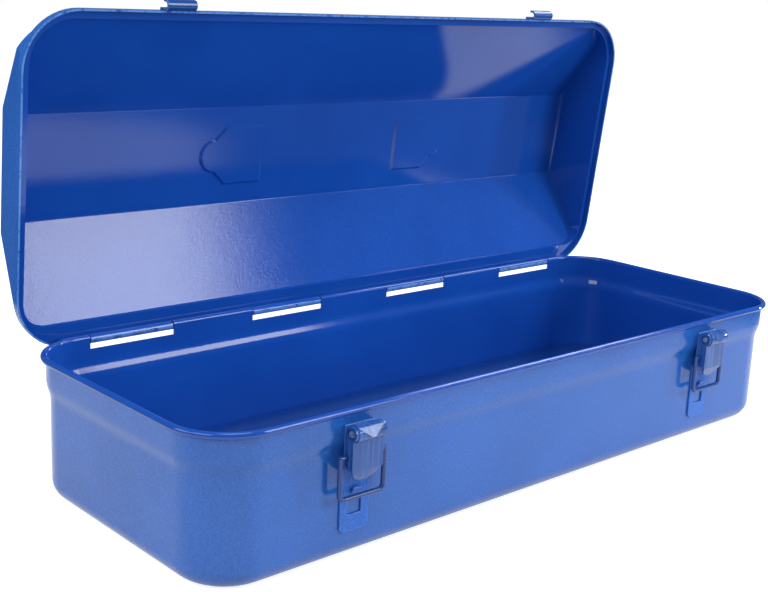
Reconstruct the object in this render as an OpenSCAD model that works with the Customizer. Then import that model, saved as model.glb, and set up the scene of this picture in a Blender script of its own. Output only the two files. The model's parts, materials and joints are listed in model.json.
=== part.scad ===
// Portable steel tool box with a camber-top lid, pressed from thin sheet.
// Frame: millimetres, origin at the centre of the tub's flat underside, +X along
// the length, +Y towards the hinge, +Z up. The lid is drawn at its open stop.

/* [Tub] */
// Outer length over the rolled rim
rim_l = 358.6; // [320:0.2:480]
// Outer depth over the rolled rim
rim_w = 138; // [120:0.5:240]
// Height from the underside to the top of the rim
rim_h = 61.7; // [60:0.1:150]
// Thickness of the sheet of tub and lid
sheet_t = 0.8; // [0.6:0.05:1]
// Outer radius of the tub's upright corners, below the flare
corner_r = 22.4; // [18:0.2:32]
// Outer radius of the edge between wall and floor
bottom_r = 8; // [4:0.5:12]
// How far the band under the rim stands out from the wall
flare = 1.6; // [1.2:0.1:2.2]
// Height of the band under the rim, with its step
flare_h = 18; // [12:0.5:20]
// Height over which the wall steps out to the band
flare_step = 9; // [5:0.5:11]
// Diameter of the rolled rim bead
bead_d = 2.8; // [2.6:0.1:3.6]

/* [Lid] */
// Height of the lid's flat top above the tub's rim
lid_h = 27.7; // [22:0.1:60]
// Width of the flat top across the depth
crown_w = 46.6; // [42:0.2:80]
// Inset of the end panels at the top
end_lean = 2.9; // [0.5:0.1:8]
// Outer radius of the crown's creases
crest_r = 2.5; // [2:0.1:9]
// Outer radius of the lid's upright corners
lid_corner_r = 24.6; // [20:0.2:27]
// Outer radius of the domed body's front corners
dome_corner_r = 20; // [12:0.5:24]
// Outer radius of the domed body's back corners
dome_back_r = 12; // [10:0.5:18]
// Width of the ledge that rests over the rim, at the front and the ends
ledge_w = 3.3; // [3:0.1:6]
// Width of the ledge behind the dome, over the hinge
back_ledge_w = 8.7; // [5:0.1:12]
// Height of the upright band above the ledge
neck_h = 1.8; // [1:0.1:5]
// Height of the skirt below the top of the rim
skirt_h = 2.1; // [1.6:0.1:2.6]
// Gap between skirt and rim, and between ledge and rim
lap_gap = 0.35; // [0.2:0.05:0.5]
// How far the lid opens
lid_open = 84; // [60:1:95]

/* [Hinge] */
// Radius of the hinge wire
wire_r = 1; // [0.8:0.05:1.1]
// Outer radius of the rolled knuckles
knuckle_r = 2; // [1.9:0.05:2.2]
// Number of knuckles on the lid
lid_knuckles = 4; // [3, 4]
// Length of each lid knuckle
lid_knuckle_l = 40.5; // [30:0.5:44]
// Length of the tub knuckle at each end
end_knuckle_l = 12.6; // [8:0.1:16]
// Distance from the end of the box to the end of the hinge wire
hinge_inset = 19.05; // [18:0.05:30]
// End gap between neighbouring knuckles
knuckle_gap = 0.5; // [0.3:0.1:1]
// Drop of the slots in the rear wall below the knuckles
slot_drop = 2; // [1:0.1:4]
// Radial clearance of a wire or pin in its running bore
run_gap = 0.05; // [0.02:0.01:0.08]

/* [Latches] */
// Distance from the middle of the box to each latch
latch_x = 111.5; // [95:0.5:135]
// Width of the lever over its flanges
lever_w = 15; // [14:0.5:20]
// Thickness of the latch sheet
latch_t = 0.8; // [0.7:0.05:1]
// Height of the lever's pivot below the rim
pivot_drop = 8.8; // [8:0.1:10]
// Distance from the latch plate to the lever's pivot
pivot_out = 3.8; // [3.75:0.05:5]
// Radius of the lever's nose around its pivot
nose_r = 3.45; // [3.3:0.05:3.5]
// Depth from the pivot to the flanges' back edge
flange_back = 3.4; // [3.1:0.05:3.45]
// Distance from the pivot to the web's front
web_out = 1.2; // [1:0.05:1.5]
// Length of the flanges below the pivot
flange_l = 14; // [12.5:0.1:16]
// Length of the lever below the pivot
lever_l = 19.3; // [17.5:0.1:24]
// How far the lever's free end bends in towards the wall
end_fold = 2.4; // [1:0.1:3]
// Drop from the pivot to the bail's eye
eye_drop = 9.3; // [8.5:0.1:10.5]
// Distance of the bail's eye behind the pivot
eye_back = 1.8; // [1.5:0.05:2.2]
// Diameter of the bail wire
bail_d = 2; // [1.6:0.1:2.2]
// Gap between the lever's flange and the bail's leg
bail_side_gap = 2.2; // [0.5:0.1:2.6]
// Radius of the lever's pivot pin
pin_r = 1.25; // [1:0.05:1.4]
// Radius of the pin's collars in the lever's flanges
collar_r = 2.2; // [1.9:0.05:2.4]
// Width of the latch plate
plate_w = 14; // [12:0.1:18]
// Height of the latch plate's lower end above the ground
plate_z = 11.5; // [8.5:0.1:16]
// Width of the window in the latch plate
window_w = 6.6; // [4:0.1:8]
// Height of the window in the latch plate
window_h = 5.6; // [4:0.1:7]
// Height of the window above the plate's lower end
window_rise = 6.9; // [5:0.1:8]
// Height of the tongue above the window
tongue_h = 5.8; // [4:0.1:7]
// How far the tongue stands out of the plate
tongue_out = 1.9; // [1:0.1:2.4]
// Radius of the flanges' round ends about the pivot
flange_r = 3; // [2.8:0.05:3.4]
// Distance from the lever's sides to the ends of its nose
nose_setback = 1.3; // [0.8:0.1:2]
// Distance from the pivot to the point of the facet on the nose
facet_out = 4.25; // [4:0.05:4.3]
// Drop of the facet's point below the pivot
facet_drop = 1.05; // [0.5:0.05:1.1]
// Width of the facet's point
facet_point_w = 1.6; // [1:0.1:4]
// Height of the lever's round free end
round_h = 5.3; // [4:0.1:7]
// Clearance around the plate's ears in the lever's nose
nose_gap = 0.3; // [0.3:0.05:0.5]
// Gap between each ear and the lever's flange
ear_gap = 0.4; // [0.3:0.05:0.6]

/* [Striker hooks] */
// Width of each hook
hook_w = 14.2; // [11:0.1:15]
// Thickness of the hook's sheet
hook_t = 1; // [0.8:0.05:1.1]
// Clearance of the bail wire in the hook's trough
trough_gap = 0.3; // [0.25:0.05:0.4]
// Height of the hook's lip above the middle of the trough
lip_h = 1.5; // [0.8:0.1:2]
// Depth of the trough's middle below the top of the rim
trough_drop = 1.85; // [1.5:0.05:2.2]

/* [Handle] */
// Distance from the middle of the box to each bracket's ear
ear_x = 43; // [38:0.5:60]
// Thickness of the bracket and handle sheet
bracket_t = 1.2; // [1:0.05:1.5]
// Width of the bracket's foot across the depth
foot_w = 26.6; // [22:0.2:32]
// Length of the foot's wide part
foot_l = 20; // [15:0.2:26]
// Length of the rounded tab beyond the wide part
tab_l = 14.2; // [11:0.2:18]
// Radius of the tab's round end
tab_r = 7; // [5:0.1:9]
// Depth of the recess that takes the foot
recess_d = 0.8; // [0.3:0.05:0.8]
// Height of the handle's pivot above the flat top
handle_z = 8; // [7.6:0.1:12]
// Distance from the pivot to the grip's outer face
handle_l = 26.6; // [24:0.2:34]
// Width of the grip and of the handle's arms
grip_w = 10; // [8:0.1:10.4]
// Depth of the grip
grip_d = 8; // [7:0.1:10]
// Radius of the handle's rivets
rivet_r = 2; // [1.6:0.05:2.4]
// Radius of the rivets' heads
rivet_head_r = 3.4; // [3:0.1:4]
// Thickness of the rivets' heads
rivet_head_t = 1.1; // [0.8:0.1:1.5]
// Gap between each arm of the handle and its ear
arm_gap = 0.3; // [0.3:0.05:0.6]
// Width of the open seam along the grip
seam = 3.4; // [2:0.2:5]

/* [Hidden] */
$fn = 48;
far = 400;
eps = 0.01;
blue = [0.05, 0.22, 0.62];

// Tub: radii and heights of the wall, measured from the corners' centres
rim_r = corner_r + flare + bead_d - sheet_t;
rim_cx = rim_l / 2 - rim_r;
rim_cy = rim_w / 2 - rim_r;
bead_z = rim_h - bead_d / 2;
bead_x = corner_r + flare - sheet_t + bead_d / 2;
flare_z = bead_z - flare_h;

// The step of the wall: two arcs that bend out and back by the same angle
step_parts = 6;
step_r = (flare_step * flare_step + flare * flare) / (4 * flare);
step_turn = acos(1 - flare / (2 * step_r)) / step_parts;

// Hinge: one axis along X behind the rear wall
hinge_y = rim_w / 2 - bead_d + knuckle_r;
hinge_z = rim_h - knuckle_r;
wire_l = rim_l - 2 * hinge_inset;
row_l = wire_l - 2 * (end_knuckle_l + knuckle_gap);
knuckle_pitch = (row_l - lid_knuckle_l) / (lid_knuckles - 1);
slot_z = hinge_z - knuckle_r - slot_drop;

// Lid, drawn closed and then turned to its stop
lid_l = rim_l + 2 * (lap_gap + sheet_t);
lid_w = rim_w + 2 * (lap_gap + sheet_t);
ledge_z = rim_h + lap_gap;
crown_z = rim_h + lid_h;
neck_x = lid_l / 2 - ledge_w;
neck_y = lid_w / 2 - ledge_w;
neck_back = lid_w / 2 - back_ledge_w;
neck_z = ledge_z + sheet_t + neck_h;
skirt_z = rim_h - skirt_h;
skirt_trim = 12;

// Latch: the lever's pivot, the bail's eye and the middle of the hook's trough
wall_y = rim_w / 2 - bead_d + sheet_t - flare;
pivot_z = rim_h - pivot_drop;
ear_r = nose_r - latch_t - nose_gap;
plate_top_z = pivot_z + ear_r;
plate_y = wall_y + flare + latch_t;
pivot_y = plate_y + pivot_out;
eye_y = pivot_y - eye_back;
eye_z = pivot_z - eye_drop;
bail_r = bail_d / 2;
trough_r = bail_r + trough_gap;
trough_y = lid_w / 2 + hook_t + trough_r;
trough_z = rim_h - trough_drop;
bail_l = norm([trough_y - eye_y, trough_z - eye_z]);
bail_x = lever_w / 2 + bail_side_gap + bail_r;
bail_bend = 2.2;
ear_w = lever_w - 2 * (latch_t + ear_gap);
step_h = 4;
nub_l = 0.4;

// Crease between the top of the lever's nose and its facet, in (y, z) about the pivot
brow = [-0.74 * nose_r, 0.81 * nose_r];

// Collars of the pin
collar_t = 0.35;

// A point of the closed lid, turned to the open stop
function opened_y(y, z) = hinge_y + (y - hinge_y) * cos(lid_open) + (z - hinge_z) * sin(lid_open);
function opened_z(y, z) = hinge_z - (y - hinge_y) * sin(lid_open) + (z - hinge_z) * cos(lid_open);

// Handle pivot, closed and at the open stop
handle_axis_z = crown_z + handle_z;
handle_y = opened_y(0, handle_axis_z);
handle_open_z = opened_z(0, handle_axis_z);
ear_top = 2.4 * rivet_r;
ear_base_h = 1.6;

// Turns lid parts from the closed place to the open stop
module at_open_stop() {
    translate([0, hinge_y, hinge_z])
        rotate([-lid_open, 0, 0])
            translate([0, -hinge_y, -hinge_z])
                children();
}

// Extrudes a (y, z) outline along X, centred
module along_x(length) {
    rotate([90, 0, 90])
        linear_extrude(height = length, center = true)
            children();
}

// Cylinder along X, centred
module rod_x(r, length) {
    rotate([0, 90, 0]) cylinder(r = r, h = length, center = true);
}

// Sweeps a profile, drawn from the corners' centres outwards, around four corners
module swept(corner_x, corner_y) {
    for (turn = [0, 180]) rotate([0, 0, turn]) {
        translate([corner_x, 0, 0])
            rotate([90, 0, 0])
                linear_extrude(height = 2 * corner_y, center = true)
                    children();
        translate([0, corner_y, 0])
            rotate([90, 0, 90])
                linear_extrude(height = 2 * corner_x, center = true)
                    children();
        translate([corner_x, corner_y, 0])
            rotate_extrude(angle = 90)
                children();
        translate([-corner_x, corner_y, 0])
            rotate([0, 0, 90])
                rotate_extrude(angle = 90)
                    children();
    }
}

// Points of the smooth step of the wall, from the lower wall out to the band
function step_points(inset) = concat(
    [for (a = [0 : step_parts]) [
        corner_r + step_r - (step_r + inset) * cos(a * step_turn),
        flare_z + (step_r + inset) * sin(a * step_turn)
    ]],
    [for (a = [step_parts - 1 : -1 : 0]) [
        corner_r + flare - step_r + (step_r - inset) * cos(a * step_turn),
        flare_z + flare_step - (step_r - inset) * sin(a * step_turn)
    ]]
);

// Half section of the tub's outside, or of its inside when inset by the sheet
module tub_half(inset, top) {
    wall = corner_r - inset;
    translate([0, bottom_r]) square([wall, flare_z - bottom_r]);
    translate([0, inset]) square([corner_r - bottom_r, bottom_r - inset]);
    translate([corner_r - bottom_r, bottom_r]) circle(r = bottom_r - inset);
    polygon(concat(
        [[0, flare_z - eps], [wall, flare_z - eps]],
        step_points(inset),
        [[wall + flare, top], [0, top]]
    ));
}

module tub_profile() {
    difference() {
        tub_half(0, bead_z);
        tub_half(sheet_t, bead_z + 1);
    }
    difference() {
        translate([bead_x, bead_z]) circle(d = bead_d);
        translate([bead_x, bead_z]) circle(d = bead_d - 2 * sheet_t);
        translate([corner_r + flare, bead_z - bead_d]) square([bead_x - corner_r - flare, bead_d]);
    }
}

// Places children at the middle of each lid knuckle
module at_lid_knuckles() {
    for (i = [0 : lid_knuckles - 1])
        translate([(i - (lid_knuckles - 1) / 2) * knuckle_pitch, 0, 0])
            children();
}

module base_tub() {
    color(blue) difference() {
        union() {
            difference() {
                swept(rim_cx, rim_cy) tub_profile();
                // the bead gives way to the row of knuckles
                translate([-wire_l / 2, wall_y + flare, bead_z - bead_d])
                    cube([wire_l, bead_d, 2 * bead_d]);
            }
            translate([-rim_cx, -rim_cy, 0]) cube([2 * rim_cx, 2 * rim_cy, sheet_t]);
            translate([0, hinge_y, hinge_z]) rod_x(knuckle_r, wire_l);
        }
        translate([0, hinge_y, hinge_z]) rod_x(wire_r + run_gap, wire_l + 2);
        at_lid_knuckles()
            translate([-lid_knuckle_l / 2 - knuckle_gap, hinge_y - 2 * knuckle_r, slot_z])
                cube([lid_knuckle_l + 2 * knuckle_gap, 4 * knuckle_r, rim_h]);
    }
}

// Outline of a bracket's foot on the flat top, grown by an edge
module foot_outline(grow) {
    tab_x = foot_l + tab_l - tab_r;
    taper_x = foot_l + foot_w / 2 - tab_r + grow;
    translate([-grow, -foot_w / 2 - grow]) square([foot_l + 2 * grow, foot_w + 2 * grow]);
    polygon([
        [foot_l + grow - eps, -foot_w / 2 - grow], [foot_l + grow - eps, foot_w / 2 + grow],
        [taper_x, tab_r + grow], [tab_x, tab_r + grow],
        [tab_x, -tab_r - grow], [taper_x, -tab_r - grow]
    ]);
    translate([tab_x, 0]) circle(r = tab_r + grow);
}

// Rectangle with round corners, each pair with its own radius
module rounded(half_x, front, back, front_r, back_r) {
    translate([-half_x, front_r - front])
        square([2 * half_x, front + back - front_r - back_r]);
    translate([front_r - half_x, -front]) square([2 * (half_x - front_r), front]);
    translate([back_r - half_x, 0]) square([2 * (half_x - back_r), back]);
    for (side = [-1, 1]) {
        translate([side * (half_x - front_r), front_r - front]) circle(r = front_r);
        translate([side * (half_x - back_r), back - back_r]) circle(r = back_r);
    }
}

// Lean of a slope that rises from the neck to the flat top
function lean(low, high) = atan2(crown_z - neck_z, low - high);

// Middle of the crease between a slope and the flat top
function crest(low, high) = high - crest_r * tan(lean(low, high) / 2);

// Upper end of a slope, and a point far down it
function slope_points(low, high, r) = let(
    turn = lean(low, high),
    top = [crest(low, high) + r * sin(turn), crown_z - crest_r + r * cos(turn)]
) [top, top + rim_w * [cos(turn), -sin(turn)]];

// Side view of the domed body: a slope from each neck up to a flat top
module camber(front, back, high, inset) {
    r = crest_r - inset;
    fore = slope_points(front, high, r);
    aft = slope_points(back, high, r);
    fore_crest = crest(front, high);
    aft_crest = crest(back, high);
    ridge_z = crown_z - crest_r;
    polygon([
        [-fore_crest, crown_z - inset], [aft_crest, crown_z - inset], [aft_crest, ridge_z],
        aft[0], aft[1], [-fore[1].x, fore[1].y], [-fore[0].x, fore[0].y], [-fore_crest, ridge_z]
    ]);
    for (y = [-fore_crest, aft_crest]) translate([y, ridge_z]) circle(r = r);
}

// Domed body of the lid, or its inside when inset by the sheet
module dome(inset) {
    low_z = inset > 0 ? ledge_z - 1 : ledge_z;
    intersection() {
        translate([0, 0, low_z])
            linear_extrude(height = crown_z - low_z)
                rounded(
                    neck_x - inset, neck_y - inset, neck_back - inset,
                    dome_corner_r - inset, dome_back_r - inset
                );
        along_x(far * 2) camber(neck_y, neck_back, crown_w / 2, inset);
        rotate([90, 0, 0])
            linear_extrude(height = far * 2, center = true)
                camber(neck_x, neck_x, neck_x - end_lean, inset);
    }
}

module lid_rim() {
    difference() {
        union() {
            swept(lid_l / 2 - lid_corner_r, lid_w / 2 - lid_corner_r)
                translate([lid_corner_r - sheet_t, skirt_z])
                    square([sheet_t, ledge_z + sheet_t - skirt_z]);
            translate([0, 0, ledge_z])
                linear_extrude(height = sheet_t)
                    rounded(
                        (lid_l - sheet_t) / 2, (lid_w - sheet_t) / 2, (lid_w - sheet_t) / 2,
                        lid_corner_r - sheet_t / 2, lid_corner_r - sheet_t / 2
                    );
        }
        // the skirt runs out towards the hinge, so that it clears the rim when it opens
        along_x(far * 2) polygon([
            [hinge_y - skirt_trim, skirt_z - 1], [hinge_y - skirt_trim, skirt_z],
            [hinge_y - wire_r, hinge_z], [hinge_y + skirt_trim, hinge_z],
            [hinge_y + skirt_trim, skirt_z - 1]
        ]);
        difference() {
            translate([-wire_l / 2 - knuckle_gap, hinge_y - 2 * knuckle_r, hinge_z - 1])
                cube([wire_l + 2 * knuckle_gap, 4 * knuckle_r, ledge_z - hinge_z + 1]);
            at_lid_knuckles()
                cube([lid_knuckle_l, far, far], center = true);
        }
    }
}

module lid_shell() {
    color(blue) at_open_stop() difference() {
        union() {
            difference() {
                union() {
                    dome(0);
                    lid_rim();
                }
                difference() {
                    dome(sheet_t);
                    // pads behind the brackets' feet
                    for (side = [0, 1]) mirror([side, 0, 0])
                        translate([ear_x, 0, crown_z - recess_d - sheet_t])
                            linear_extrude(height = 2 * sheet_t)
                                foot_outline(sheet_t);
                }
            }
            at_lid_knuckles()
                translate([0, hinge_y, hinge_z]) rod_x(knuckle_r, lid_knuckle_l);
        }
        translate([0, hinge_y, hinge_z]) rod_x(wire_r + run_gap, far * 2);
        for (side = [0, 1]) mirror([side, 0, 0])
            translate([ear_x, 0, crown_z - recess_d])
                linear_extrude(height = 2 * recess_d)
                    foot_outline(lap_gap);
    }
}

module hinge_wire() {
    color("silver") translate([0, hinge_y, hinge_z]) rod_x(wire_r, wire_l);
}

// Puts a latch part, drawn at X = 0, on the front wall; -Y points out of the box
module at_latch(side) {
    translate([side * latch_x, 0, 0]) children();
}

// Side outline of the lever in (y, z) about its pivot; -y points out of the box
module lever_side() {
    corner = 2;
    straight = 0.4;
    bend_z = -flange_l - straight;
    circle(r = flange_r);
    polygon([
        [flange_back, 0], [0, 0], [-web_out, -nose_r / 2], [-web_out, -flange_l],
        [flange_back - corner, -flange_l], [flange_back, corner - flange_l]
    ]);
    // the free end bends in
    polygon([
        [latch_t - web_out, 1 - flange_l], [-web_out, 1 - flange_l], [-web_out, bend_z],
        [end_fold - web_out, -lever_l], [end_fold + latch_t - web_out, -lever_l],
        [latch_t - web_out, bend_z]
    ]);
}

// Front outline of the lever: straight sides and a round free end
module lever_front() {
    half = lever_w / 2;
    end_r = (half * half + round_h * round_h) / (2 * round_h);
    intersection() {
        translate([-half, -far]) square([lever_w, far * 2]);
        union() {
            translate([-half, end_r - lever_l]) square([lever_w, far]);
            translate([0, end_r - lever_l]) circle(r = end_r);
        }
    }
}

// Side outline of the nose: round about the pivot, with a flat top
module nose_side() {
    slope = (brow.y - nose_r) / brow.x;
    intersection() {
        circle(r = nose_r);
        polygon([
            [0, nose_r], [far, nose_r], [far, -far], [-far, -far], [-far, nose_r - slope * far]
        ]);
    }
}

// Facet on the nose, which narrows to a point
module nose_facet() {
    half = lever_w / 2 - nose_setback;
    intersection() {
        along_x(2 * half)
            polygon([[0, 0], [0, nose_r], brow, [-facet_out, -facet_drop], [0, -nose_r]]);
        rotate([90, 0, 0])
            linear_extrude(height = 2 * far, center = true)
                polygon([
                    [-half, far], [-half, brow.y], [-facet_point_w / 2, -facet_drop],
                    [facet_point_w / 2, -facet_drop], [half, brow.y], [half, far]
                ]);
    }
}

module latch_lever(side) {
    inner_w = lever_w - 2 * latch_t;
    mouth = 0.3;
    color(blue) at_latch(side) translate([0, -pivot_y, pivot_z]) difference() {
        intersection() {
            union() {
                along_x(lever_w) lever_side();
                along_x(lever_w - 2 * nose_setback) nose_side();
                nose_facet();
            }
            translate([0, -far / 2, 0])
                rotate([90, 0, 0])
                    mirror([0, 0, 1])
                        linear_extrude(height = far) lever_front();
        }
        along_x(inner_w) {
            circle(r = nose_r - latch_t);
            translate([mouth, 0]) square([far, far]);
            polygon([
                [far, eps], [0, eps], [latch_t - web_out, -nose_r + latch_t],
                [latch_t - web_out, -flange_l - eps], [far, -flange_l - eps]
            ]);
        }
        rod_x(collar_r + run_gap, far);
        translate([0, eye_back, -eye_drop]) rod_x(bail_r + run_gap, far);
    }
}

module latch_pin(side) {
    color("silver") at_latch(side) translate([0, -pivot_y, pivot_z]) {
        rod_x(pin_r, lever_w);
        rod_x(pin_r * 0.8, lever_w + 2 * nub_l);
        for (end = [-1, 1])
            translate([end * ((lever_w + collar_t) / 2 - latch_t), 0, 0])
                rod_x(collar_r, collar_t);
    }
}

// Wire loop; hangs straight down from its eyes in the lever's flanges
module latch_bail(side) {
    leg = bail_l - bail_bend;
    root_x = lever_w / 2 - latch_t - bail_r;
    color(blue) at_latch(side) translate([0, -eye_y, eye_z]) {
        for (m = [0, 1]) mirror([m, 0, 0]) {
            translate([bail_x, 0, -leg]) cylinder(r = bail_r, h = leg);
            translate([bail_x, 0, 0]) sphere(r = bail_r);
            translate([root_x, 0, 0]) rotate([0, 90, 0]) cylinder(r = bail_r, h = bail_x - root_x);
            translate([bail_x - bail_bend, 0, -leg])
                rotate([-90, 0, 0])
                    rotate_extrude(angle = 90)
                        translate([bail_bend, 0]) circle(r = bail_r);
        }
        translate([0, 0, -bail_l]) rod_x(bail_r, 2 * (bail_x - bail_bend));
    }
}

// Plate on the front wall; steps out over the flare and carries two ears
module latch_plate(side) {
    window_z = plate_z + window_rise;
    step_z = flare_z - latch_t;
    bend_z = step_z - step_h;
    ear_low = -7;
    ear_turn = 35;
    corner = 2.4;
    color(blue) at_latch(side) difference() {
        union() {
            along_x(plate_w) polygon([
                [-wall_y, plate_z], [-wall_y, bend_z], [-wall_y - flare, step_z],
                [-wall_y - flare, plate_top_z], [-plate_y, plate_top_z],
                [-plate_y, step_z], [-wall_y - latch_t, bend_z], [-wall_y - latch_t, plate_z]
            ]);
            for (m = [0, 1]) mirror([m, 0, 0])
                translate([ear_w / 2 - latch_t / 2, -pivot_y, pivot_z])
                    along_x(latch_t) {
                        circle(r = ear_r);
                        polygon([
                            [0, 0], ear_r * [cos(ear_turn), -sin(ear_turn)], [pivot_out, -pivot_out],
                            [pivot_out, ear_low], [0, -ear_r]
                        ]);
                    }
            // tongue lanced out of the window
            translate([0, 0, window_z + window_h])
                along_x(window_w * 0.6) polygon([
                    [-wall_y, 0], [-wall_y - latch_t - tongue_out, tongue_h - latch_t / 2],
                    [-wall_y - tongue_out, tongue_h], [-wall_y, 2 * latch_t]
                ]);
        }
        translate([-window_w / 2, -wall_y - 2 * latch_t, window_z])
            cube([window_w, 3 * latch_t, window_h]);
        translate([0, -pivot_y, pivot_z]) rod_x(pin_r + run_gap, plate_w + 2);
        // trimmed lower corners
        for (m = [0, 1]) mirror([m, 0, 0])
            translate([plate_w / 2, 0, plate_z])
                rotate([0, 45, 0]) cube([corner, far, corner], center = true);
    }
}

module striker_hook(side) {
    tongue_l = ledge_w - 0.6;
    color(blue) at_open_stop() at_latch(side) along_x(hook_w) {
        difference() {
            translate([-trough_y, trough_z]) circle(r = trough_r + hook_t);
            translate([-trough_y, trough_z]) circle(r = trough_r);
            translate([-trough_y - 3 * trough_r, trough_z]) square([6 * trough_r, 3 * trough_r]);
        }
        translate([-trough_y - trough_r - hook_t, trough_z]) square([hook_t, lip_h]);
        translate([-lid_w / 2 - hook_t, trough_z])
            square([hook_t, ledge_z + sheet_t + hook_t - trough_z]);
        translate([-lid_w / 2 - hook_t, ledge_z + sheet_t])
            square([hook_t + tongue_l, hook_t]);
    }
}

module handle_bracket(side) {
    foot_z = crown_z - recess_d;
    side_z = foot_z + ear_base_h;
    color(blue) at_open_stop() mirror([side > 0 ? 0 : 1, 0, 0]) {
        translate([ear_x, 0, foot_z])
            linear_extrude(height = bracket_t) foot_outline(0);
        difference() {
            translate([ear_x + bracket_t / 2, 0, 0]) along_x(bracket_t) {
                translate([0, handle_axis_z]) circle(r = ear_top);
                polygon([
                    [-foot_w / 2, foot_z], [foot_w / 2, foot_z], [foot_w / 2, side_z],
                    [ear_top, handle_axis_z], [-ear_top, handle_axis_z], [-foot_w / 2, side_z]
                ]);
            }
            translate([ear_x, 0, handle_axis_z]) rod_x(rivet_r + run_gap, 4 * bracket_t);
        }
    }
}

module handle_rivet(side) {
    inner = ear_x - arm_gap - bracket_t;
    outer = ear_x + bracket_t;
    color("silver") at_open_stop() mirror([side > 0 ? 0 : 1, 0, 0])
        translate([0, 0, handle_axis_z]) {
            translate([(inner + outer) / 2, 0, 0])
                rod_x(rivet_r, outer - inner + rivet_head_t);
            translate([outer + rivet_head_t / 2, 0, 0]) rod_x(rivet_head_r, rivet_head_t);
            translate([inner - arm_gap - rivet_head_t / 2, 0, 0])
                rod_x(rivet_head_r, rivet_head_t);
            translate([inner - arm_gap / 2, 0, 0]) rod_x(rivet_r, arm_gap + eps);
        }
}

// Section of the grip in (y, z) about the handle's pivot, with its seam upwards
module grip_section(inset) {
    r = grip_w / 2 - inset;
    translate([0, grip_w / 2 - handle_l]) circle(r = r);
    translate([-r, grip_w / 2 - handle_l]) square([2 * r, grip_d - grip_w / 2 - inset]);
}

module handle_grip() {
    arm_x = ear_x - arm_gap;
    grip_y = grip_w / 2 - handle_l;
    color(blue) translate([0, handle_y, handle_open_z]) {
        along_x(2 * (arm_x - eps)) difference() {
            grip_section(0);
            grip_section(bracket_t);
            translate([-seam / 2, -handle_l + grip_d / 2]) square([seam, grip_d]);
        }
        for (m = [0, 1]) mirror([m, 0, 0])
            translate([arm_x - bracket_t / 2, 0, 0])
                along_x(bracket_t) difference() {
                    union() {
                        circle(r = grip_w / 2);
                        translate([-grip_w / 2, grip_y]) square([grip_w, -grip_y]);
                        grip_section(0);
                    }
                    circle(r = rivet_r + run_gap);
                }
    }
}

base_tub();
lid_shell();
hinge_wire();
latch_plate(-1);  // latch_plate_left
latch_plate(1);  // latch_plate_right
latch_pin(-1);  // latch_pin_left
latch_pin(1);  // latch_pin_right
latch_lever(-1);  // latch_lever_left
latch_lever(1);  // latch_lever_right
latch_bail(-1);  // latch_bail_left
latch_bail(1);  // latch_bail_right
striker_hook(-1);  // striker_hook_left
striker_hook(1);  // striker_hook_right
handle_bracket(-1);  // handle_bracket_left
handle_bracket(1);  // handle_bracket_right
handle_rivet(-1);  // handle_rivet_left
handle_rivet(1);  // handle_rivet_right
handle_grip();
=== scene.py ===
"""Looks of a pressed-steel tool box with a camber-top lid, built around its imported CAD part."""

import json
import math

import bpy
import bmesh
from mathutils import Matrix, Vector

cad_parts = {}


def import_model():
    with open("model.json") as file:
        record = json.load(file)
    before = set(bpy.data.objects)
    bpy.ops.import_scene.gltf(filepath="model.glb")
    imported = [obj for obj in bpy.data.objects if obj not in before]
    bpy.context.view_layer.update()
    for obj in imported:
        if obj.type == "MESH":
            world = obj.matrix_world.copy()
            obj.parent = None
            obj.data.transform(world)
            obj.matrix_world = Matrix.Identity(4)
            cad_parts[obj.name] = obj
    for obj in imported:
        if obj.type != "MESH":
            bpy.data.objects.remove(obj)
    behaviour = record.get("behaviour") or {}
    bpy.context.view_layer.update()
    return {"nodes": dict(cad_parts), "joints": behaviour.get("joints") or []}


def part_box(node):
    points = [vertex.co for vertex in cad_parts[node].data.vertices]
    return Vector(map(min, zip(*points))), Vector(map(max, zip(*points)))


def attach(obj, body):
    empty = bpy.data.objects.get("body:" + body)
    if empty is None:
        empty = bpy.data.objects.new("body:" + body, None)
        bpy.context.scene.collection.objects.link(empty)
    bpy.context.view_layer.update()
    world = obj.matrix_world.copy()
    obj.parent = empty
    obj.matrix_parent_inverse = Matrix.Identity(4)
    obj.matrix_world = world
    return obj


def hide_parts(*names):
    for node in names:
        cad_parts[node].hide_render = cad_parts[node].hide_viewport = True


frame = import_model()
nodes = frame["nodes"]
joints = {joint["name"]: joint for joint in frame["joints"]}
scene = bpy.context.scene
MM = 0.001

# Places of the part in mm, worked out from the frame: the hinge, the right latch, and the centres
# of the rim's corners, which are RIM_R in radius
HINGE_Y, HINGE_Z = (place / MM for place in joints["lid_hinge"]["pos_m"][1:])
LID_OPEN = math.radians(-joints["lid_hinge"]["range_deg"][0])
LATCH_X = joints["lever_right_pivot"]["pos_m"][0] / MM
RIM_R = 26.0
tub_low, tub_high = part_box("base_tub")
RIM_CX = tub_high.x / MM - RIM_R
RIM_CY = -tub_low.y / MM - RIM_R


def add_object(name, data):
    """A new object in the scene."""
    obj = bpy.data.objects.new(name, data)
    scene.collection.objects.link(obj)
    return obj


# ---------------------------------------------------------------- node trees
# Places of a Mix node's two inputs and its output, by the kind of what it mixes
MIX_SOCKETS = {"FLOAT": (2, 3, 0), "RGBA": (6, 7, 2)}


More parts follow.
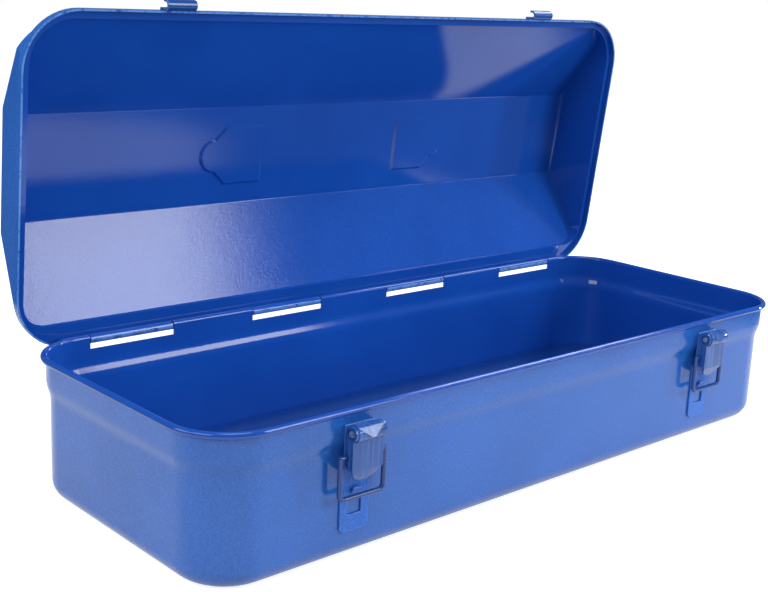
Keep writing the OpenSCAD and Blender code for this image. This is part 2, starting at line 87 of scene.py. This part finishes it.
class NodeTree:
    """Helper around a tree of shader nodes. A value is a number, a colour or a node's output."""

    def __init__(self, tree):
        self.tree = tree

    def feed(self, socket, value):
        """Sets the socket to a number or a colour, or links an output to it."""
        if isinstance(value, bpy.types.NodeSocket):
            self.tree.links.new(value, socket)
        elif isinstance(value, tuple):
            socket.default_value = (*value, 1.0)
        else:
            socket.default_value = value

    def node(self, kind, inputs, **props):
        """A new node with its properties set and its inputs fed, each by its name or place."""
        made = self.tree.nodes.new(kind)
        for key, value in props.items():
            setattr(made, key, value)
        for key, value in inputs.items():
            self.feed(made.inputs[key], value)
        return made

    def combine(self, operation, a, b):
        """The output of a Math node."""
        return self.node("ShaderNodeMath", {0: a, 1: b}, operation=operation).outputs[0]

    def remap(self, value, low, high, to_low=0.0, to_high=1.0, curve="LINEAR"):
        """Takes the range from low to high to that from to_low to to_high, level outside it."""
        limits = {"From Min": low, "From Max": high, "To Min": to_low, "To Max": to_high}
        made = self.node("ShaderNodeMapRange", {"Value": value, **limits}, interpolation_type=curve)
        return made.outputs["Result"]

    def mix(self, factor, a, b, kind="RGBA"):
        """Value a where factor is 0 and b where it is 1, as colours or, with FLOAT, as numbers."""
        first, second, result = MIX_SOCKETS[kind]
        made = self.node("ShaderNodeMix", {first: a, second: b}, data_type=kind)
        self.feed(made.inputs["Factor"], factor)
        return made.outputs[result]


class Shader(NodeTree):
    """A Principled material in the making."""

    def __init__(self, name):
        self.mat = bpy.data.materials.new(name)
        self.mat.use_nodes = True
        super().__init__(self.mat.node_tree)
        self.bsdf = self.tree.nodes["Principled BSDF"]
        self.coord = self.node("ShaderNodeTexCoord", {}).outputs["Object"]

    def noise(self, size_mm, detail, rough=0.5, stretch=None):
        """Noise whose cells are about size_mm across; stretch scales its place along X, Y and Z."""
        place = self.coord
        if stretch:
            mapping = self.node("ShaderNodeMapping", {"Vector": place})
            mapping.inputs["Scale"].default_value = stretch
            place = mapping.outputs["Vector"]
        look = {"Vector": place, "Scale": 1 / MM / size_mm, "Detail": detail, "Roughness": rough}
        return self.node("ShaderNodeTexNoise", look).outputs["Fac"]

    def belt(self, heights):
        """0 below the first height, 1 from the second to the third and 0 above the fourth, in mm."""
        low, full, last, clear = (height * MM for height in heights)
        z = self.node("ShaderNodeSeparateXYZ", {"Vector": self.coord}).outputs["Z"]
        return self.combine("MINIMUM", self.remap(z, low, full), self.remap(z, last, clear, 1.0, 0.0))

    def bump(self, relief, height_mm, strength, normal):
        """A normal that follows a relief, on top of another normal if there is one."""
        look = {"Distance": height_mm * MM, "Strength": strength, "Height": relief}
        made = self.node("ShaderNodeBump", look)
        if normal:
            self.feed(made.inputs["Normal"], normal)
        return made.outputs["Normal"]


# ---------------------------------------------------------------- enamel
# Noises of the enamel: size in mm, detail and roughness. The streaks are drawn out along Z.
CLOUD_NOISE = (38, 3)
GLOSS_NOISE = (6, 4)
FLECK_NOISE = (0.55, 2, 0.6)
STREAK_NOISE = (1.6, 2, 0.6, (1.0, 1.0, 0.04))
WEAR_NOISE = (2.6, 3, 0.6)
DUST_NOISE = (3, 3)
# Its bumps, each a noise and a height in mm: wide and fine waves of orange peel, grain and speckle
BUMPS = (((9, 1), 0.05), ((1.8, 2), 0.02), ((0.45, 2, 0.6), 0.01), ((0.9, 1, 0.4), 0.02))

# Ranges of a noise's values over which something fades in
SPREAD = (0.3, 0.7)
PALE_FLECKS = (0.5, 0.68)
DARK_FLECKS = (0.5, 0.34)
STREAKS = (0.42, 0.62)
WORN = (0.30, 0.50)

# Tints of the enamel's colours: a factor and what is added
PALE_FLECK, DARK_FLECK, PALE_STREAK = (1.5, 0.03), (0.55, 0.0), (1.6, 0.05)

# Dust in the bottom of the tub: its roughness, the specular level without and with it, the tint of the
# painted shade that darkens the bend between floor and walls, and the heights of the dull belt and of
# the dark belt of painted shade in mm
DUST_ROUGH = (0.40, 0.55)
DUST_SPECULAR = (0.5, 0.07)
PAINTED_SHADE_TINT = (0.65, 0.0)
DULL_BELT = (-2.0, -1.0, 6.0, 10.0)
PAINTED_SHADE_BELT = (0.9, 2.2, 6.0, 10.0)

ENAMEL_IOR = 1.5
# Paler blue of bevelled edges: partly worn-thin paint, partly a painted highlight
PALE_EDGE_WEAR_AND_HIGHLIGHT = (0.110, 0.270, 0.660)

# Each finish: the two colours that it clouds between, the range of its roughness, the strengths
# of its bumps, how much its colour is flecked, and the colour where it is worn
DEEP, LIGHT = (0.007, 0.067, 0.380), (0.009, 0.080, 0.430)
FINISHES = {
    "enamel_glossy": {
        "deep": DEEP, "light": LIGHT,
        "rough": (0.03, 0.06), "bumps": (0.14, 0.50, 0.75, 0.2),
    },
    "enamel_peeled": {
        "deep": DEEP, "light": LIGHT,
        "rough": (0.04, 0.07), "bumps": (0.2, 0.8, 1.5, 1.0), "fleck": 0.25,
    },
    "enamel_hammered": {
        "deep": (0.013, 0.110, 0.46), "light": (0.018, 0.130, 0.53),
        "rough": (0.13, 0.19), "bumps": (0.12, 0.30, 0.6, 0.35), "fleck": 0.4,
    },
    "enamel_fittings": {
        "deep": (0.007, 0.058, 0.26), "light": (0.010, 0.075, 0.33),
        "rough": (0.08, 0.14), "bumps": (0.3, 0.5, 0.3, 0.2), "fleck": 0.1,
    },
    "enamel_levers": {
        "deep": (0.007, 0.060, 0.26), "light": (0.012, 0.080, 0.34),
        "rough": (0.10, 0.16), "bumps": (0.3, 0.5, 0.3, 0.2), "fleck": 0.1,
    },
    "enamel_plates": {
        "deep": (0.012, 0.125, 0.56), "light": (0.020, 0.160, 0.66),
        "rough": (0.40, 0.55), "bumps": (0.3, 0.5, 0.9, 0.8), "fleck": 0.5,
    },
    "enamel_wire": {
        "deep": (0.005, 0.042, 0.21), "light": (0.007, 0.060, 0.28),
        "rough": (0.05, 0.09), "bumps": (0.2, 0.3, 0.2, 0.1), "fleck": 0.1,
    },
    "enamel_thin_on_steel": {
        "deep": (0.012, 0.06, 0.24), "light": (0.03, 0.09, 0.30),
        "rough": (0.2, 0.35), "bumps": (0.2, 0.4, 0.5, 0.2), "fleck": 0.2,
        "edge": (0.16, 0.22, 0.36),
    },
}


def tinted(colour, factor, lift):
    """A colour times factor, with lift added."""
    return tuple(min(1.0, channel * factor + lift) for channel in colour)


def enamel(name, deep, light, rough, bumps, fleck=0.0, streak=0.0, edge=None, dust=False):
    """Blue enamel. fleck and streak say how strongly its flecks and upright lines show, edge is
    the colour where it is worn, which on the pale edges is partly a painted highlight, and with dust
    it is dulled near the ground and the bend there is darkened by painted shade."""
    s = Shader(name)
    cloud = s.remap(s.noise(*CLOUD_NOISE), *SPREAD)
    colour = s.mix(cloud, deep, light)
    if fleck:
        grit = s.noise(*FLECK_NOISE)
        colour = s.mix(s.remap(grit, *PALE_FLECKS, 0.0, fleck), colour, tinted(light, *PALE_FLECK))
        colour = s.mix(s.remap(grit, *DARK_FLECKS, 0.0, fleck), colour, tinted(deep, *DARK_FLECK))
    if streak:
        lines = s.remap(s.noise(*STREAK_NOISE), *STREAKS, 0.0, streak)
        colour = s.mix(lines, colour, tinted(light, *PALE_STREAK))
    if edge:
        colour = s.mix(s.remap(s.noise(*WEAR_NOISE), *WORN), colour, edge)
    gloss = s.remap(s.noise(*GLOSS_NOISE), *SPREAD, *rough)
    if dust:
        dull = s.belt(DULL_BELT)
        gloss = s.mix(dull, gloss, s.remap(s.noise(*DUST_NOISE), *SPREAD, *DUST_ROUGH), "FLOAT")
        s.feed(s.bsdf.inputs["Specular IOR Level"], s.remap(dull, 0.0, 1.0, *DUST_SPECULAR))
        # Painted shade: a darker colour in the bend between the tub's floor and walls
        dark = s.mix(cloud, tinted(deep, *PAINTED_SHADE_TINT), tinted(light, *PAINTED_SHADE_TINT))
        colour = s.mix(s.belt(PAINTED_SHADE_BELT), colour, dark)
    s.feed(s.bsdf.inputs["Base Color"], colour)
    s.feed(s.bsdf.inputs["Roughness"], gloss)
    s.bsdf.inputs["IOR"].default_value = ENAMEL_IOR
    normal = None
    for (relief, height_mm), strength in zip(BUMPS, bumps):
        normal = s.bump(s.noise(*relief), height_mm, strength, normal)
    s.feed(s.bsdf.inputs["Normal"], normal)
    return s.mat


def finish_pair(name, **extras):
    """An enamel with its extras, and the same enamel with a paler colour on its bevelled edges, partly
    worn-thin paint and partly a painted highlight.
    """
    return enamel(name, **FINISHES[name], **extras), enamel(name + "_edge", **FINISHES[name], edge=PALE_EDGE_WEAR_AND_HIGHLIGHT)


glossy, glossy_edge = finish_pair("enamel_glossy", dust=True)
peeled = enamel("enamel_peeled", **FINISHES["enamel_peeled"])
satin, satin_edge = finish_pair("enamel_hammered")
fitting, fitting_edge = finish_pair("enamel_fittings")
plate, plate_edge = finish_pair("enamel_plates")
lever, lever_edge = finish_pair("enamel_levers", streak=0.5)
wire, wire_edge = finish_pair("enamel_wire")
pin = enamel("enamel_thin_on_steel", **FINISHES["enamel_thin_on_steel"])

# ---------------------------------------------------------------- dressing of the solids
# Vertices closer than WELD and slivers under SLIVER are joined, in m. Faces that bend up to FLAT
# degrees become one, and an edge that bends SHARP degrees or more stays an edge.
WELD, SLIVER = 2e-6, 1e-6
FLAT, SHARP = 0.5, 35
# Steps across a bevel. Where edges have their own widths, each is a share of SOFT_UNIT, in mm.
BEVEL_STEPS, SOFT_STEPS = 2, 4
SOFT_UNIT = 2.0
# How far big faces outweigh small ones in the shading
FACE_WEIGHT = 100


def weigh_edges(bm, soften):
    """Gives each edge between two faces its bevel width, as a share of SOFT_UNIT."""
    layer = bm.edges.layers.float.new("bevel_weight_edge")
    for edge in bm.edges:
        if len(edge.link_faces) == 2:
            bend = math.degrees(edge.calc_face_angle(0.0))
            edge[layer] = soften(edge.verts[0].co, edge.verts[1].co, bend) / SOFT_UNIT


def joined_mesh(node, shape, soften):
    """A CAD node's mesh with joined vertices and flat faces, then shaped and its edges weighed."""
    bm = bmesh.new()
    bm.from_mesh(nodes[node].data)
    bmesh.ops.remove_doubles(bm, verts=bm.verts, dist=WELD)
    bmesh.ops.dissolve_degenerate(bm, edges=bm.edges, dist=SLIVER)
    bmesh.ops.dissolve_limit(bm, angle_limit=math.radians(FLAT), verts=bm.verts, edges=bm.edges)
    if shape:
        shape(bm)
    if soften:
        weigh_edges(bm, soften)
    mesh = bpy.data.meshes.new(node + "_finished")
    bm.to_mesh(mesh)
    bm.free()
    return mesh


def round_edges(obj, bevel_mm, weighed):
    """Bevels the sharp edges, or the weighed ones, with the last material on the bevels, and
    keeps the faces between them flat to the light."""
    if bevel_mm:
        bevel = obj.modifiers.new("soft_edges", "BEVEL")
        bevel.width = bevel_mm * MM
        bevel.segments = SOFT_STEPS if weighed else BEVEL_STEPS
        bevel.limit_method = "WEIGHT" if weighed else "ANGLE"
        bevel.angle_limit = math.radians(SHARP)
        bevel.use_clamp_overlap = True
        bevel.material = len(obj.data.materials) - 1
    flat = obj.modifiers.new("flat_faces", "WEIGHTED_NORMAL")
    flat.weight = FACE_WEIGHT
    flat.keep_sharp = True


def dressed(node, body, mats, bevel_mm=0.2, choose=None, soften=None, shape=None):
    """A finished copy of a CAD node: joined vertices, softened edges, smooth curved faces.
    choose gives a face's place in mats; soften gives an edge's own bevel width in mm, from its
    two ends and its bend in degrees; shape changes the joined mesh."""
    mesh = joined_mesh(node, shape, soften)
    obj = add_object(node + "_finished", mesh)
    for mat in mats:
        mesh.materials.append(mat)
    mesh.polygons.foreach_set("use_smooth", [True] * len(mesh.polygons))
    mesh.set_sharp_from_angle(angle=math.radians(SHARP))
    if choose:
        for face in mesh.polygons:
            face.material_index = choose(face)
    round_edges(obj, SOFT_UNIT if soften else bevel_mm, bool(soften))
    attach(obj, body)
    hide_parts(node)


def beyond(value, reach):
    """How far value is outside the range from -reach to reach."""
    return value - max(-reach, min(reach, value))


# ---------------------------------------------------------------- tub
RIM_LOW = 58.5  # the rim lies above this height, in mm
AT_MIDDLE = 1e-4  # a face less than this far out of the tub's middle lies over it, in m
# Shares of a face's normal: against the way out of the tub for a face that looks in, and up
INWARD, UPWARD = -0.1, 0.5


def tub_side(face):
    """1 for faces that look into the box and for the rim, 0 for those that look out."""
    c, n = face.center, face.normal
    if c.z > RIM_LOW * MM:
        return 1
    out = Vector((beyond(c.x, RIM_CX * MM), beyond(c.y, RIM_CY * MM), 0))
    if out.length < AT_MIDDLE:
        return int(n.z > 0)
    return int(n.dot(out.normalized()) < INWARD or n.z > UPWARD)


# ---------------------------------------------------------------- lid
# Places in the closed lid, in mm: knuckles, skirt and ledge lie below LEDGE_TOP, the slopes between
# SLOPE_LOW and SLOPE_TOP, the flat top above CREST_LOW, and the rear slope behind REAR_Y. The
# knuckles reach KNUCKLE_REACH from the hinge's axis.
LEDGE_TOP, SLOPE_LOW, CREST_LOW, SLOPE_TOP = 63.2, 64.0, 84.0, 87.5
REAR_Y = 40.0
KNUCKLE_REACH = 2.2
# Half sizes and height of a level plate in the closed lid's mouth; outside faces look away from it
CORE_X, CORE_Y, CORE_Z = 150.0, 30.0, 60.0
# Shares of a face's normal: down for the skirt's cut edge, across and to the front for the rear slope
DOWNWARD, SIDEWAYS, FORWARD = -0.9, 0.05, -0.3
# Bevel widths in mm, of pressed creases, of the flat top's edges and pads, and of cut edges. An edge
# that bends less than LEAST_BEND degrees has none, and one is level if it climbs less than LEVEL.
CREASE, FOLD, CUT = 1.4, 0.5, 0.25
LEAST_BEND, LEVEL = 12, 0.7
# Raised faces of the two pads in the flat top, in mm: height and how exact it is, middle, span in X
# and reach in Y. They are drawn in towards their middle by the share PAD_TAPER.
PAD_Z, PAD_EXACT, PAD_X, PAD_SPAN, PAD_REACH = 87.8, 0.1, 60.0, (40, 90), 16
PAD_TAPER = 0.08


def closed_place(v):
    """Place of a lid point with the lid closed, in mm."""
    y, z = v.y / MM - HINGE_Y, v.z / MM - HINGE_Z
    c, s = math.cos(LID_OPEN), math.sin(LID_OPEN)
    return v.x / MM, HINGE_Y + y * c - z * s, HINGE_Z + y * s + z * c


def lid_bend(a, b, bend):
    """Bevel widths of the lid: pressed creases are wide, sheet edges narrow."""
    if bend < LEAST_BEND:
        return 0.0
    heights = closed_place(a)[2], closed_place(b)[2]
    low, rise = min(heights), max(heights) - min(heights)
    if low < LEDGE_TOP:
        return CUT
    return FOLD if low > CREST_LOW and rise < LEVEL else CREASE


def lid_side(face):
    """0 for the lid's inside, 1 for its outside, 2 for the inside of its rear slope, 3 for the
    cut edge of its skirt."""
    x, y, z = closed_place(face.center)
    ahead = closed_place(face.center + face.normal * MM)
    nx, ny, nz = ahead[0] - x, ahead[1] - y, ahead[2] - z
    if z < HINGE_Z and nz < DOWNWARD:
        return 3
    if math.hypot(y - HINGE_Y, z - HINGE_Z) < KNUCKLE_REACH:
        return 0
    if beyond(x, CORE_X) * nx + beyond(y, CORE_Y) * ny + (z - CORE_Z) * nz > 0:
        return 1
    on_rear_slope = y > REAR_Y and SLOPE_LOW < z < SLOPE_TOP
    return 2 if on_rear_slope and abs(nx) < SIDEWAYS and ny < FORWARD else 0


def sink_pads(bm):
    """Slopes the sides of the two pads pressed into the lid's flat top."""
    back = Vector((0, math.cos(LID_OPEN), -math.sin(LID_OPEN)))  # the closed lid's +Y, with it open
    for v in bm.verts:
        x, y, z = closed_place(v.co)
        raised = abs(z - PAD_Z) < PAD_EXACT
        if raised and PAD_SPAN[0] < abs(x) < PAD_SPAN[1] and abs(y) < PAD_REACH:
            v.co.x -= (x - math.copysign(PAD_X, x)) * PAD_TAPER * MM
            v.co += back * (-y * PAD_TAPER * MM)


# ---------------------------------------------------------------- latches
PIN_REACH = 7.55  # a pin's bare ends lie further than this from the latch's middle, in mm


def pin_end(face):
    """1 for the bare ends of a latch pin, 0 for the rest."""
    return int(abs(abs(face.center.x / MM) - LATCH_X) > PIN_REACH)


# ---------------------------------------------------------------- the pieces
dressed("base_tub", "tub", [satin, glossy, satin_edge], bevel_mm=0.12, choose=tub_side)
dressed(
    "lid_shell", "lid", [glossy, satin, peeled, glossy_edge],
    choose=lid_side, soften=lid_bend, shape=sink_pads,
)
dressed("hinge_wire", "tub", [wire, wire_edge])
for side in ("left", "right"):
    dressed("latch_plate_" + side, "tub", [plate, plate_edge])
    dressed("latch_pin_" + side, "tub", [fitting, pin], bevel_mm=0.15, choose=pin_end)
    dressed("latch_lever_" + side, "lever_" + side, [lever, lever_edge], bevel_mm=0.22)
    dressed("latch_bail_" + side, "bail_" + side, [wire], bevel_mm=0.0)
    dressed("striker_hook_" + side, "lid", [fitting, fitting_edge])
    dressed("handle_bracket_" + side, "lid", [fitting, fitting_edge])
    dressed("handle_rivet_" + side, "lid", [pin], bevel_mm=0.3)
dressed("handle_grip", "handle", [fitting, fitting_edge])

# ---------------------------------------------------------------- floor and world
WHITE = (1.0, 1.0, 1.0)
FLOOR_REACH = 6.0
FLOOR_GREY = 0.55
# Glow of the floor: EYE_GLOW to the eye, and POOL_GLOW, a painted pool of light around the box that
# only mirror images show. The pool is full up to POOL_IN and ends at POOL_OUT, in m.
EYE_GLOW, POOL_GLOW = 0.80, 0.60
POOL_IN, POOL_OUT = 0.33, 0.41
# The pool has a notch of painted shadow to the right of the box's middle and in front of it. The
# painted light fades out between the two places of NOTCH_SIDE along NOTCH_WAY, where Y is below
# NOTCH_FRONT, in m.
NOTCH_WAY = (0.827, 0.563)
NOTCH_SIDE = (-0.030, 0.034)
NOTCH_FRONT = (-0.215, -0.185)
# Beyond the pool, mirror images show the floor in painted shade, at this share of its own brightness
FAR_SHARE = 0.15
# Strength of the room as a light and in mirror images
ROOM_LIGHT, ROOM_SEEN = 0.39, 0.14


class Stage(NodeTree):
    """A stage material or world that differs between the eye and mirror images."""

    def __init__(self, tree):
        super().__init__(tree)
        tree.nodes.clear()
        rays = self.node("ShaderNodeLightPath", {}).outputs
        self.eye = rays["Is Camera Ray"]
        # 1 for rays that come off metal, gloss or glass
        self.mirror = self.combine("MAXIMUM", rays["Is Glossy Ray"], rays["Is Transmission Ray"])

    def fade(self, value, limits, to_low, to_high):
        """A soft change from to_low to to_high between the limits."""
        return self.remap(value, *limits, to_low, to_high, "SMOOTHSTEP")

    def show(self, kind, shader):
        """Makes shader what the tree's output node shows."""
        self.node(kind, {"Surface": shader})


def pool_share(st):
    """1 in the painted pool of light on the floor, 0 beyond it and in its notch of painted shadow."""
    place = st.node("ShaderNodeTexCoord", {}).outputs["Object"]
    reach = st.node("ShaderNodeVectorMath", {0: place}, operation="LENGTH").outputs["Value"]
    axes = st.node("ShaderNodeSeparateXYZ", {"Vector": place}).outputs
    # Notch of painted shadow in the painted pool of light
    steps = [st.combine("MULTIPLY", axes[axis], share) for axis, share in zip("XY", NOTCH_WAY)]
    side = st.fade(st.combine("ADD", *steps), NOTCH_SIDE, 1.0, 0.0)
    front = st.fade(axes["Y"], NOTCH_FRONT, 0.0, 1.0)
    pool = st.fade(reach, (POOL_IN, POOL_OUT), 1.0, 0.0)
    return st.combine("MULTIPLY", pool, st.combine("MAXIMUM", side, front))


def floor():
    """A white floor: pure white to the eye except where the box shades it. Mirror images show
    a painted pool of light around the box, and painted shade beyond it."""
    mesh = bpy.data.meshes.new("floor")
    corners = [(FLOOR_REACH * x, FLOOR_REACH * y, 0) for x, y in ((-1, -1), (1, -1), (1, 1), (-1, 1))]
    mesh.from_pydata(corners, [], [range(len(corners))])
    obj = add_object("floor", mesh)
    mat = bpy.data.materials.new("white_floor")
    mat.use_nodes = True
    st = Stage(mat.node_tree)
    pool = pool_share(st)
    own = st.combine("MULTIPLY", st.eye, EYE_GLOW)
    # Painted pool of light: a glow of the floor that only mirror images see
    seen = st.combine("MULTIPLY", st.combine("MULTIPLY", st.mirror, pool), POOL_GLOW)
    glow = st.node("ShaderNodeEmission", {"Color": WHITE, "Strength": st.combine("MAXIMUM", seen, own)})
    # Painted shade: beyond the pool, mirror images see the floor mixed with black
    far = st.combine("MULTIPLY", st.combine("SUBTRACT", 1.0, pool), 1.0 - FAR_SHARE)
    pale, dark = (st.node("ShaderNodeBsdfDiffuse", {"Color": (grey,) * 3}) for grey in (FLOOR_GREY, 0.0))
    dimmed = st.combine("MULTIPLY", st.mirror, far)
    matt = st.node("ShaderNodeMixShader", {0: dimmed, 1: pale.outputs[0], 2: dark.outputs[0]})
    both = st.node("ShaderNodeAddShader", {0: matt.outputs[0], 1: glow.outputs[0]})
    st.show("ShaderNodeOutputMaterial", both.outputs[0])
    mesh.materials.append(mat)


def world():
    """White behind the box for the eye; a dim room for light and for mirror images."""
    studio = bpy.data.worlds.new("studio")
    scene.world = studio
    studio.use_nodes = True
    st = Stage(studio.node_tree)
    room = st.combine("ADD", st.combine("MULTIPLY", st.mirror, ROOM_SEEN - ROOM_LIGHT), ROOM_LIGHT)
    unseen = st.combine("MULTIPLY", st.combine("SUBTRACT", 1.0, st.eye), room)
    back = st.node("ShaderNodeBackground", {"Color": WHITE, "Strength": st.combine("ADD", unseen, st.eye)})
    st.show("ShaderNodeOutputWorld", back.outputs[0])


# ---------------------------------------------------------------- lamps
TARGET = Vector((0.0, 0.0, 0.05))
KEY_WAY, KEY_DISTANCE = (31.5, 26.5), 1.65


def softbox(name, way, distance, size, power, shift=(0.0, 0.0), lean=0.0):
    """Area lamp of size width by height, aimed at TARGET. way is its azimuth from -Y towards +X,
    and its elevation; shift moves it aside and up in its own plane; lean turns it to the right.
    Lengths are in m, angles in degrees and power in W."""
    azimuth, elevation = (math.radians(angle) for angle in way)
    flat = math.cos(elevation)
    toward = Vector((math.sin(azimuth) * flat, -math.cos(azimuth) * flat, math.sin(elevation)))
    lamp = bpy.data.lights.new(name, "AREA")
    lamp.shape = "RECTANGLE"
    lamp.size, lamp.size_y = size
    lamp.energy = power
    obj = add_object(name, lamp)
    turn = toward.to_track_quat("Z", "Y").to_matrix()
    obj.location = TARGET + toward * distance + turn @ Vector((*shift, 0.0))
    obj.rotation_euler = (turn @ Matrix.Rotation(math.radians(-lean), 3, "Z")).to_euler()


floor()
world()
softbox("key_tall", KEY_WAY, KEY_DISTANCE, size=(0.44, 0.62), power=6.5, shift=(0.0, -0.19))
softbox("key_high", KEY_WAY, KEY_DISTANCE, size=(0.43, 0.38), power=4.0, shift=(0.025, 0.31), lean=18.2)
softbox("rim_line", way=(90, 43), distance=1.6, size=(1.1, 0.40), power=9)
softbox("key_low", way=(68, 6), distance=1.6, size=(0.12, 0.25), power=9)
softbox("strip", way=(50, 16.5), distance=1.6, size=(0.47, 0.06), power=0.9)
softbox("top", way=(-20, 75), distance=1.6, size=(0.8, 0.8), power=8)
softbox("fill_left", way=(-78, 32), distance=1.8, size=(0.8, 0.8), power=8)
softbox("fill_side", way=(-108, 22), distance=1.8, size=(0.8, 0.8), power=7)

# ---------------------------------------------------------------- camera
# Place in m and directions of the picture, solved from the photo's straight edges
CAMERA_PLACE = Vector((-0.3982, -0.39155, 0.2111))
RIGHT = Vector((0.73884961, -0.67238592, 0.04470384))
DOWN = Vector((-0.13021919, -0.20754985, -0.96951845))
AHEAD = Vector((0.66116883, 0.71050703, -0.24090567))
SENSOR_MM, LENS_MM = 36.0, 58.24
SHIFT_X, SHIFT_Y = -0.0149, -0.0012
NEAREST = 0.01

optics = bpy.data.cameras.new("camera")
optics.sensor_width = SENSOR_MM
optics.lens = LENS_MM
optics.shift_x = SHIFT_X
optics.shift_y = SHIFT_Y
optics.clip_start = NEAREST
camera = add_object("camera", optics)
turn = Matrix((RIGHT, -DOWN, -AHEAD)).transposed().to_4x4()
camera.matrix_world = Matrix.Translation(CAMERA_PLACE) @ turn
scene.camera = camera

scene.view_settings.view_transform = "Standard"
